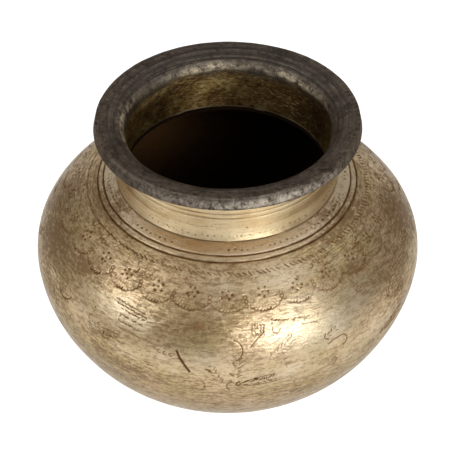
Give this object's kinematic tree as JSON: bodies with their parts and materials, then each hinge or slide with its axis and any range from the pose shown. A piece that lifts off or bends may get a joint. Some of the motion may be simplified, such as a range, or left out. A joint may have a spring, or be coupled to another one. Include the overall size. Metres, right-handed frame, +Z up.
{
  "type": "brass water pot",
  "caption": "Squat, round hammered brass water pot with a short turned neck, a heavy everted lip and scribed and punched bands round the shoulder.",
  "frame": {"origin": "centre of the flat underneath, on the surface the pot stands on", "axes": "+Z up along the pot's axis of revolution, towards the mouth; the side that the reference view shows faces -Y"},
  "size_m": [0.22, 0.22, 0.176],
  "materials": {
    "lip_bronze": "dark grey-brown patina over cast bronze, filed outer face",
    "neck_brass": "turned, worn bright",
    "body_brass": "hammered and brushed, with brown stains and dark marks",
    "braze": "dark, tarnished"
  },
  "bodies": {
    "root": {"mouth_rim": "lip_bronze", "neck_collar": "neck_brass", "shoulder_shell": "body_brass", "base_bowl": "body_brass", "neck_braze": "braze", "belly_braze": "braze"}
  },
  "joints": []
}
